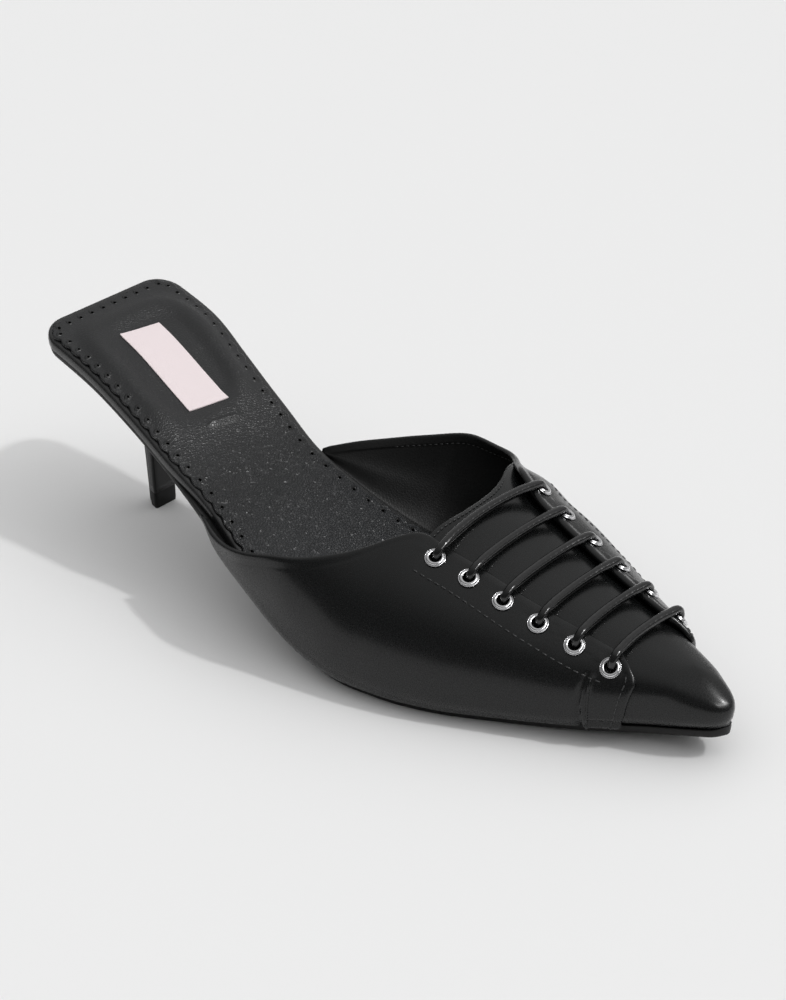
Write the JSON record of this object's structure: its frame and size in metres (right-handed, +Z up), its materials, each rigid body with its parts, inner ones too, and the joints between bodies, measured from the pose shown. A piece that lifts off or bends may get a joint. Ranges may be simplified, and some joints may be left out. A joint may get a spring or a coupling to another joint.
{
  "type": "lace-up mule",
  "caption": "Backless pointed-toe mule with a slim kitten heel, laced across the vamp through metal eyelets; one shoe, right foot.",
  "frame": {"origin": "centre of the shoe's bounding box, at floor level", "axes": "+X to the toe, +Y to the inner side of the right foot, +Z up"},
  "size_m": [0.2518, 0.094, 0.0681],
  "materials": {
    "upper_leather": "smooth semi-gloss black leather with a soft grain",
    "outsole": "matt black moulded sole",
    "insole_cover": "wrapped black leather rim",
    "sock_lining": "grained black lining, pin-holed along its edge",
    "label": "pale pink woven label, left bare",
    "heel": "black leather covering",
    "heel_tip": "hard black top piece",
    "eyelet": "bright silver-coloured metal",
    "lace": "round waxed black cord"
  },
  "bodies": {
    "root": {"outsole": "outsole", "heel": "heel", "heel_tip": "heel_tip", "insole": "insole_cover", "sock": "sock_lining", "label": "label", "upper": "upper_leather", "eyelet_outer_1": "eyelet", "eyelet_outer_2": "eyelet", "eyelet_outer_3": "eyelet", "eyelet_outer_4": "eyelet", "eyelet_outer_5": "eyelet", "eyelet_outer_6": "eyelet", "eyelet_inner_1": "eyelet", "eyelet_inner_2": "eyelet", "eyelet_inner_3": "eyelet", "eyelet_inner_4": "eyelet", "eyelet_inner_5": "eyelet", "eyelet_inner_6": "eyelet", "lace_bar_1": "lace", "lace_bar_2": "lace", "lace_bar_3": "lace", "lace_bar_4": "lace", "lace_bar_5": "lace", "lace_bar_6": "lace"}
  },
  "joints": []
}
